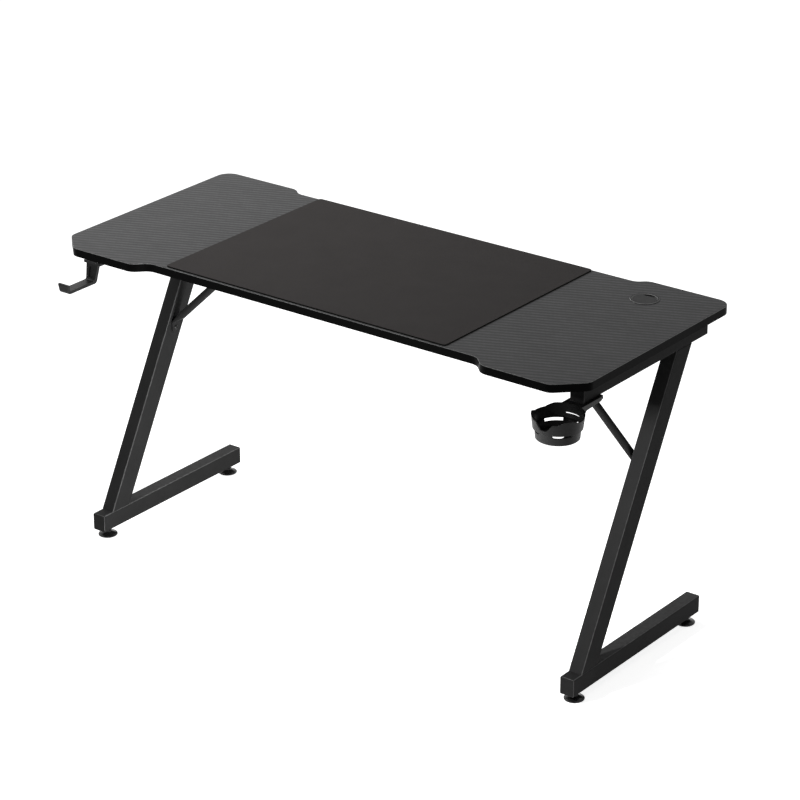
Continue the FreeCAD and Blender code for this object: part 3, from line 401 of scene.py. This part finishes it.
# cup: distance of its axis behind its front, half-width of the change to the outside, and tones of the
# painted shade inside
CUP_REACH = 52.5 * MM
CUP_TURNOVER = 5 * MM
CUP_INSIDE_SHADE_TONES = (0.001, 0.003)


def painted_bevel_highlight(tree, cloud, colour, faces, highlight_tone):
    """Paint a highlight in patches on the bevels round the faces that look along one axis."""
    bevel = between(tree, calc(tree, "ABSOLUTE", normal_part(tree, faces)), *BEVEL_SLOPE)
    patches = spread(tree, cloud, *BEVEL_PATCHES)
    return mixed(tree, calc(tree, "MULTIPLY", bevel, patches), colour, highlight_tone)


def outside_of_cup(tree):
    """Share that is 0 where a face looks at the cup's axis and 1 where it looks away from it; it places
    the painted shade inside the cup.

    The cup hangs in line with the right side frame, so a pad under that gives its axis along X.
    """
    low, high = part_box("foot_pad_front_right")
    axis = ((low.x + high.x) / 2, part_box("cup_holder")[0].y + CUP_REACH, 0)
    radial = vector_calc(tree, "SUBTRACT", place(tree), axis)
    level = stretched(tree, face_normal(tree), 1, 1, 0)
    outward = vector_calc(tree, "DOT_PRODUCT", radial, level, "Value")
    return spread(tree, outward, -CUP_TURNOVER, CUP_TURNOVER)


def moulded_plastic(name, edge_highlight=None, inside_shade=None):
    """Injection-moulded plastic: an eroded mould's grain over a slow change of tone.

    An edge highlight is painted onto the bevels. Tones for the inside are a painted shade on the cup's
    inner faces.
    """
    tones, rough, grain_size, grain_depth, specular = PLASTICS[name]
    material, tree, shader = new_material(name)
    where = place(tree)
    grain = noise(tree, where, grain_size, detail=3, roughness=0.6)
    cloud = noise(tree, where, PLASTIC_CLOUD)
    tone = weighted(tree, (grain, 0.5), (cloud, 0.5))
    colour = mixed(tree, tone, *tones)
    # painted highlight on the bevels
    if edge_highlight is not None:
        colour = painted_bevel_highlight(tree, cloud, colour, *edge_highlight)
    # painted shade: faces that look at the cup's axis take the darker inside tones
    if inside_shade is not None:
        colour = mixed(tree, outside_of_cup(tree), mixed(tree, tone, *inside_shade), colour)
    link(tree, shader, Base_Color=colour,
         Roughness=spread(tree, grain, *GRAIN_RANGE, rough - ROUGH_SPREAD, rough + ROUGH_SPREAD),
         Normal=bump(tree, grain, grain_depth, strength=0.6), Specular_IOR_Level=specular)
    return material


# steels: tones, and the least roughness
STEELS = {
    "black_steel": ((0.02, 0.05), 0.38),
    "zinc_steel": ((0.35, 0.55), 0.30),
    "stem_steel": ((0.20, 0.36), 0.30),
}
STEEL_CLOUD = 4 * MM
PLATING_RANGE = (0.3, 0.7)
STEEL_ROUGHER = 0.14
MARK_SIZE = 0.25 * MM
MARK_DRAW = 0.15
MARK_DEPTH = 0.01 * MM


def plated_steel(name):
    """Plated or blackened steel with turning marks round its axis and cloudy plating."""
    tones, rough = STEELS[name]
    material, tree, shader = new_material(name)
    where = place(tree)
    marks = noise(tree, stretched(tree, where, MARK_DRAW, MARK_DRAW, 1), MARK_SIZE)
    cloud = noise(tree, where, STEEL_CLOUD, detail=3)
    colour = mixed(tree, weighted(tree, (marks, 0.5), (cloud, 0.5)), *tones)
    link(tree, shader, Base_Color=colour, Metallic=1.0,
         Roughness=spread(tree, cloud, *PLATING_RANGE, rough, rough + STEEL_ROUGHER),
         Normal=bump(tree, marks, MARK_DEPTH, strength=0.5))
    return material


def dress_nodes():
    """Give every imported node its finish, and return that of the stems."""
    # tubes get lighter top patches and a painted highlight on their edges
    tube = powder_coat("tube_coat", True)
    coat = powder_coat("powder_coat", False)
    # plugs and the grommet trim get a painted highlight on their bevels
    plug = moulded_plastic("plug_plastic", edge_highlight=PLUG_EDGE_HIGHLIGHT)
    foot = moulded_plastic("foot_plastic")
    holder = moulded_plastic("holder_plastic")
    # the cup's outside is painted lighter and its inside gets painted shade
    cup = moulded_plastic("cup_plastic_painted_light", inside_shade=CUP_INSIDE_SHADE_TONES)
    trim = moulded_plastic("trim_plastic", edge_highlight=TRIM_EDGE_HIGHLIGHT)
    black = plated_steel("black_steel")
    zinc = plated_steel("zinc_steel")
    stem = plated_steel("stem_steel")
    by_start = {
        "desktop": carbon_foil(), "top_rail": tube, "leg_tube": tube, "foot_bar": tube,
        "beam_plate": coat, "brace_left": coat, "brace_right": coat, "crossbeam": coat,
        "rail_cap": plug, "bar_cap": plug, "foot_pad": foot, "foot_nut": black, "foot_stem": stem,
        "cup_holder": cup, "headset_hook": holder, "grommet": trim,
        "rail_screws": black, "beam_screws": black, "cup_screws": black, "hook_screws": black,
        "brace_bolts": black, "beam_bolts": black, "insert_nuts": zinc, "weld_nuts": zinc,
        "mouse_mat": coat,
    }
    for name, node in nodes.items():
        finish = next(finish for start, finish in by_start.items() if name.startswith(start))
        node.data.materials.clear()
        node.data.materials.append(finish)
    return stem


# pieces

def new_piece(name, mesh, material):
    """Turn a mesh that was being built into an object with one material."""
    data = bpy.data.meshes.new(name)
    mesh.to_mesh(data)
    mesh.free()
    piece = bpy.data.objects.new(name, data)
    bpy.context.scene.collection.objects.link(piece)
    data.materials.append(material)
    return piece


MAT_CORNER = 8 * MM
MAT_EDGE = 1.0 * MM
MAT_CELL = 9 * MM
MAT_LEVEL = 0.5
EDGE_LINES = (0, 0.12, 0.4, 1)
CORNER_LINES = (0.35, 0.7, 1)

# ripple of the mat: rise, and two waves in radians per metre along X and Y
MAT_RIPPLE = 0.25 * MM
BROAD_WAVE = (9, 13)
BROAD_PHASE = (2, 1)
SLANT_WAVE = (23, -17)
SLANT_SHARE = 0.5


def mat_lines(length):
    """Grid lines across the mat: close together at the rounded edges, even between them."""
    rim = [share * MAT_EDGE for share in EDGE_LINES] + [share * MAT_CORNER for share in CORNER_LINES]
    inner = length - 2 * MAT_CORNER
    count = round(inner / MAT_CELL)
    middle = [MAT_CORNER + inner * index / count for index in range(1, count)]
    return [*rim, *middle, *(length - line for line in reversed(rim))]


def rounded_corner(x, y, half_x, half_y):
    """Pull a point of the mat's corner square onto the quarter round of the corner."""
    a = (abs(x) - half_x + MAT_CORNER) / MAT_CORNER
    b = (abs(y) - half_y + MAT_CORNER) / MAT_CORNER
    if a <= 0 or b <= 0:
        return x, y
    round_a = a * math.sqrt(1 - b * b / 2)
    round_b = b * math.sqrt(1 - a * a / 2)
    new_x = half_x - MAT_CORNER + MAT_CORNER * round_a
    new_y = half_y - MAT_CORNER + MAT_CORNER * round_b
    return math.copysign(new_x, x), math.copysign(new_y, y)


def mat_ripple(x, y):
    """Slight rise of the laid sheet, never below the board."""
    broad = math.sin(BROAD_WAVE[0] * x + BROAD_PHASE[0]) * math.sin(BROAD_WAVE[1] * y + BROAD_PHASE[1])
    wave = broad + SLANT_SHARE * math.sin(SLANT_WAVE[0] * x + SLANT_WAVE[1] * y)
    return MAT_RIPPLE * (0.5 + wave / (2 + 2 * SLANT_SHARE))


def build_mat():
    """Cloth mat laid on the board: closed sheet with rounded corners and a soft upper edge."""
    low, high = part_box("mouse_mat")
    middle = (low + high) / 2
    half_x = (high.x - low.x) / 2
    half_y = (high.y - low.y) / 2
    columns = mat_lines(2 * half_x)
    rows = mat_lines(2 * half_y)
    mesh = bmesh.new()
    top, sole = {}, {}
    for i, line_x in enumerate(columns):
        for j, line_y in enumerate(rows):
            inset = min(line_x, 2 * half_x - line_x, line_y, 2 * half_y - line_y)
            x, y = rounded_corner(line_x - half_x, line_y - half_y, half_x, half_y)
            rise = mat_ripple(x, y)
            fall = max(0, MAT_EDGE - inset)
            drop = MAT_EDGE - math.sqrt(MAT_EDGE ** 2 - fall ** 2)
            top[i, j] = mesh.verts.new((middle.x + x, middle.y + y, high.z + rise - drop))
            sole[i, j] = mesh.verts.new((middle.x + x, middle.y + y, low.z + rise))
    last_i, last_j = len(columns) - 1, len(rows) - 1
    for i in range(last_i):
        for j in range(last_j):
            mesh.faces.new((top[i, j], top[i + 1, j], top[i + 1, j + 1], top[i, j + 1]))
            mesh.faces.new((sole[i, j], sole[i, j + 1], sole[i + 1, j + 1], sole[i + 1, j]))
    rim = [(i, 0) for i in range(last_i)] + [(last_i, j) for j in range(last_j)]
    rim += [(i, last_j) for i in range(last_i, 0, -1)] + [(0, j) for j in range(last_j, 0, -1)]
    for here, there in zip(rim, rim[1:] + rim[:1]):
        mesh.faces.new((sole[here], sole[there], top[there], top[here]))
    for face in mesh.faces:
        face.smooth = abs(face.normal.z) > MAT_LEVEL
    mat = new_piece("desk_mat", mesh, mat_cloth())
    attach(mat, "frame")
    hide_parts("mouse_mat")


# thread of the stems: pitch and depth, rings per pitch, sides of a ring, slope of a flank and flat crest
THREAD_PITCH = 1.25 * MM
THREAD_DEPTH = 0.6 * MM
THREAD_ROWS = 6
THREAD_SIDES = 24
THREAD_SLOPE = 1.6
THREAD_CREST = 0.3


def thread_radius(radius, height, share):
    """Radius of a screw thread at a height and a share of a turn round it."""
    phase = (height / THREAD_PITCH - share) % 1
    flank = abs(2 * phase - 1)
    return radius - THREAD_DEPTH * min(1, max(0, THREAD_SLOPE * flank - THREAD_CREST))


def build_stem(name, material):
    """Threaded stem of a levelling foot, with a chamfered tip."""
    low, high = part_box(f"foot_stem_{name}")
    middle = (low + high) / 2
    radius = (high.x - low.x) / 2
    length = high.z - low.z
    count = round(length / THREAD_PITCH * THREAD_ROWS)
    mesh = bmesh.new()
    rings = []
    for row in range(count + 1):
        height = length * row / count
        taper = max(0, height - length + THREAD_DEPTH)
        ring = []
        for side in range(THREAD_SIDES):
            share = side / THREAD_SIDES
            reach = thread_radius(radius, height, share) - taper
            angle = TURN * share
            ring.append(mesh.verts.new((middle.x + reach * math.cos(angle),
                                        middle.y + reach * math.sin(angle), low.z + height)))
        rings.append(ring)
    for below, above in zip(rings, rings[1:]):
        for side in range(THREAD_SIDES):
            after = (side + 1) % THREAD_SIDES
            face = mesh.faces.new((below[side], below[after], above[after], above[side]))
            face.smooth = True
    mesh.faces.new(reversed(rings[0]))
    mesh.faces.new(rings[-1])
    stem = new_piece(f"threaded_stem_{name}", mesh, material)
    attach(stem, f"stem_{name}")
    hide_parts(f"foot_stem_{name}")


# stage

def seen_ray(tree):
    """1 for rays from the camera, and for those that a glossy or clear surface sends on."""
    path = add(tree, "ShaderNodeLightPath", {}).outputs
    either = calc(tree, "MAXIMUM", path["Is Camera Ray"], path["Is Glossy Ray"])
    return calc(tree, "MAXIMUM", either, path["Is Transmission Ray"])


def floor_paint():
    """Pale paint that keeps the shadow and looks white, seen from above only."""
    material = bpy.data.materials.new("floor")
    material.use_nodes = True
    tree = material.node_tree
    tree.nodes.clear()
    cloud = noise(tree, place(tree), FLOOR_CLOUD)
    paint = mixed(tree, cloud, FLOOR_ALBEDO - FLOOR_MOTTLE, FLOOR_ALBEDO + FLOOR_MOTTLE)
    matt = add(tree, "ShaderNodeBsdfDiffuse", {"Color": paint}).outputs[0]
    strength = calc(tree, "MULTIPLY", seen_ray(tree), FLOOR_GLOW)
    glow = add(tree, "ShaderNodeEmission", {"Strength": strength}).outputs[0]
    white = add(tree, "ShaderNodeAddShader", {0: matt, 1: glow}).outputs[0]
    back = add(tree, "ShaderNodeNewGeometry", {}).outputs["Backfacing"]
    clear = add(tree, "ShaderNodeBsdfTransparent", {}).outputs[0]
    shown = add(tree, "ShaderNodeMixShader", {0: back, 1: white, 2: clear}).outputs[0]
    add(tree, "ShaderNodeOutputMaterial", {"Surface": shown})
    return material


def build_floor():
    """Level floor in four quarters, each of which stays under its foot as that is screwed in or out."""
    paint = floor_paint()
    for foot in FEET:
        low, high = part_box(f"foot_pad_{foot}")
        side_x = math.copysign(1, low.x + high.x)
        side_y = math.copysign(1, low.y + high.y)
        mesh = bmesh.new()
        corner = [mesh.verts.new((0, 0, 0))]
        for step in range(FLOOR_STEPS + 1):
            angle = TURN / 4 * step / FLOOR_STEPS
            reach = Vector((side_x * math.cos(angle), side_y * math.sin(angle), 0))
            corner.append(mesh.verts.new(reach * FLOOR_RADIUS))
        mesh.faces.new(corner if side_x * side_y > 0 else reversed(corner))
        quarter = new_piece(f"floor_{foot}", mesh, paint)
        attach(quarter, f"foot_{foot}")


def build_world():
    """White surroundings, which light the desk less than they show."""
    world = bpy.data.worlds.new("studio")
    world.use_nodes = True
    tree = world.node_tree
    tree.nodes.clear()
    strength = spread(tree, seen_ray(tree), 0, 1, AMBIENT, 1)
    light = add(tree, "ShaderNodeBackground", {"Color": (1, 1, 1, 1), "Strength": strength})
    add(tree, "ShaderNodeOutputWorld", {"Surface": light.outputs[0]})
    bpy.context.scene.world = world


def new_lamp(name, kind, where, aim, watts):
    light = bpy.data.lights.new(name, kind)
    light.energy = watts
    lamp = bpy.data.objects.new(name, light)
    lamp.location = where
    lamp.rotation_euler = (Vector(aim) - lamp.location).to_track_quat("-Z", "Y").to_euler()
    lamp.visible_camera = False
    bpy.context.scene.collection.objects.link(lamp)
    return light


def build_lamps():
    """Two softboxes, and a spot on the right side frame."""
    for name, (where, (across, along), watts, aim) in SOFTBOXES.items():
        light = new_lamp(name, "AREA", where, aim, watts)
        light.shape = "RECTANGLE"
        light.size = across
        light.size_y = along
    light = new_lamp("spot_front", "SPOT", SPOT_PLACE, SPOT_AIM, SPOT_WATTS)
    light.spot_size = SPOT_CONE
    light.spot_blend = SPOT_BLEND
    light.shadow_soft_size = SPOT_RADIUS


def build_camera():
    """Camera that was fitted to the photo, placed from the middle of the board."""
    low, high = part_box("desktop")
    middle = (low + high) / 2
    target = Vector((middle.x, middle.y, 0)) + CAMERA_AIM
    flat = math.cos(CAMERA_ELEVATION)
    back = Vector((
        math.sin(CAMERA_AZIMUTH) * flat,
        -math.cos(CAMERA_AZIMUTH) * flat,
        math.sin(CAMERA_ELEVATION),
    ))
    data = bpy.data.cameras.new("camera")
    data.sensor_width = CAMERA_SENSOR
    data.lens = CAMERA_LENS
    camera = bpy.data.objects.new("camera", data)
    camera.location = target + back * CAMERA_DISTANCE
    camera.rotation_euler = (-back).to_track_quat("-Z", "Y").to_euler()
    bpy.context.scene.collection.objects.link(camera)
    bpy.context.scene.camera = camera


stem_steel = dress_nodes()
build_mat()
for foot_name in FEET:
    build_stem(foot_name, stem_steel)
build_floor()
build_world()
build_lamps()
build_camera()
bpy.context.scene.view_settings.view_transform = "Standard"
